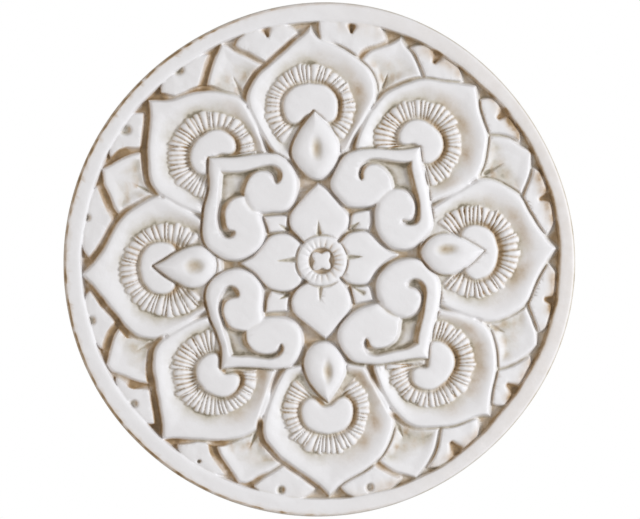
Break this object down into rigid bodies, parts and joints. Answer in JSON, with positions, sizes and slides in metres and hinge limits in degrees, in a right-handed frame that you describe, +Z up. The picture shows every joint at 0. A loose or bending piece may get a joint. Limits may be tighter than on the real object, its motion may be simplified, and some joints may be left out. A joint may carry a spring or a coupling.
{
  "type": "decorative wall plaque",
  "caption": "Round cast wall plaque with a carved mandala: fluted petals, scrolled hearts and drops round a rosette inside a flat rim, with a flat back.",
  "frame": {"origin": "middle of the flat back, on the wall plane", "axes": "+Y out of the back into the wall, +Z up the face, +X to the right of someone who looks at the face"},
  "size_m": [0.3001, 0.021, 0.3013],
  "materials": {
    "antiqued_ceramic": "matt to satin white with a taupe and brown wash left in the recesses and along the edge"
  },
  "bodies": {
    "root": {"plaque": "antiqued_ceramic"}
  },
  "joints": []
}
